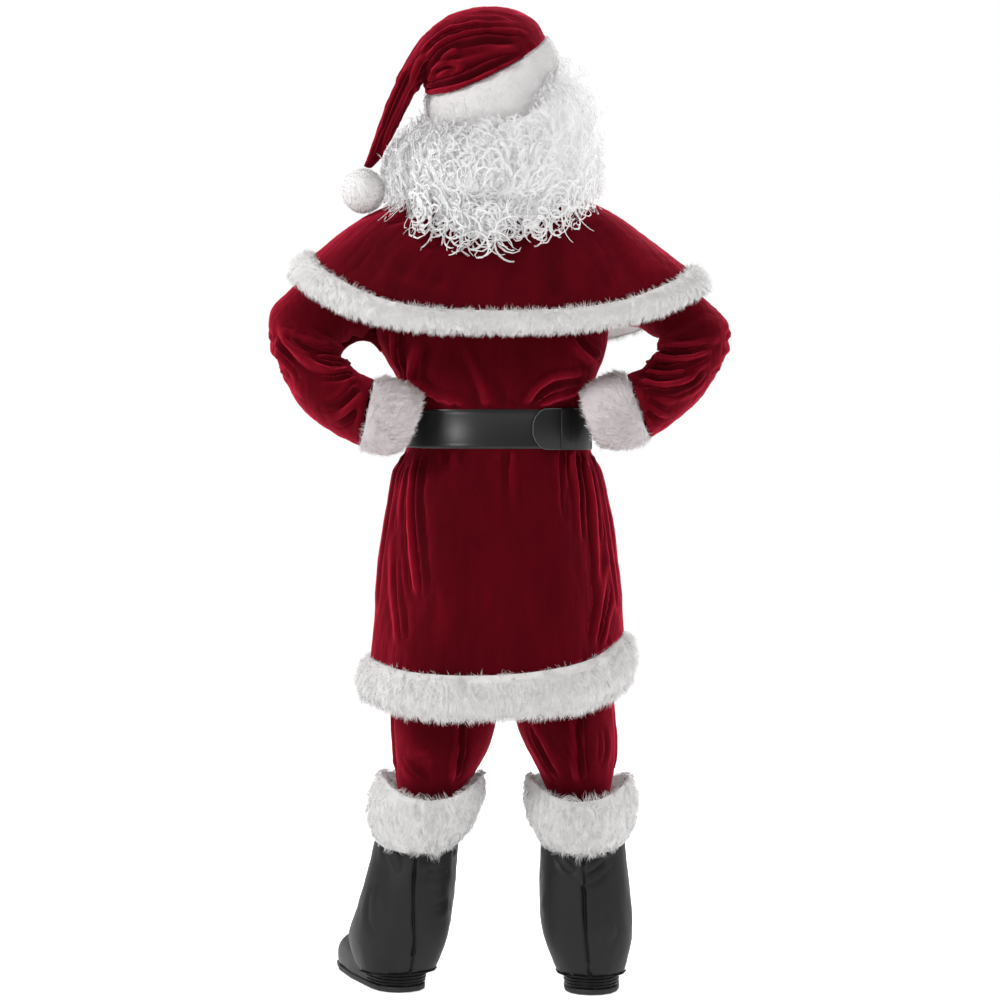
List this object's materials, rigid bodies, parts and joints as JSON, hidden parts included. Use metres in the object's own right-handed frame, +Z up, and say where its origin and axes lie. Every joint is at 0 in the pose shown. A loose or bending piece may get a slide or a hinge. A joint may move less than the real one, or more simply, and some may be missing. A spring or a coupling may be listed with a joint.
{
  "type": "santa suit",
  "caption": "Worn santa suit: belted velvet coat with shoulder cape, trousers, boots, curly wig and drooping pompom hat, all trimmed with fur.",
  "frame": {"origin": "base of the wearer's neck, on the body's middle line, 1.46 m above the floor", "axes": "+Z up, +X to the wearer's right, +Y to the wearer's front; the shown side is the back, -Y"},
  "size_m": [0.8471, 0.4512, 1.8201],
  "materials": {
    "velvet": "crimson polyester velvet, short brushed pile",
    "fur": "white long-pile faux fur",
    "hair": "white synthetic hair in loose shiny curls",
    "belt_leatherette": "black satin leatherette, stitched along both edges",
    "boot_leatherette": "black satin leatherette with soft creases",
    "sole_rubber": "black ribbed rubber sole"
  },
  "bodies": {
    "root": {"coat_back": "velvet", "coat_front_left": "velvet", "coat_front_right": "velvet", "coat_sleeve_left": "velvet", "coat_sleeve_right": "velvet", "coat_cuff_left": "fur", "coat_cuff_right": "fur", "coat_hem_fur": "fur", "cape_body": "velvet", "cape_fur": "fur", "belt_strap": "belt_leatherette", "belt_end": "belt_leatherette", "belt_keeper": "belt_leatherette", "trousers_back_left": "velvet", "trousers_front_left": "velvet", "trousers_back_right": "velvet", "trousers_front_right": "velvet", "boot_left_shaft_inner": "boot_leatherette", "boot_left_shaft_outer": "boot_leatherette", "boot_left_foot": "boot_leatherette", "boot_left_sole": "sole_rubber", "boot_left_fur": "fur", "boot_right_shaft_inner": "boot_leatherette", "boot_right_shaft_outer": "boot_leatherette", "boot_right_foot": "boot_leatherette", "boot_right_sole": "sole_rubber", "boot_right_fur": "fur", "hat_crown": "velvet", "hat_band": "fur", "hat_pompom": "fur", "wig_cap": "hair", "wig_curls": "hair", "wig_fringe": "hair"}
  },
  "joints": []
}
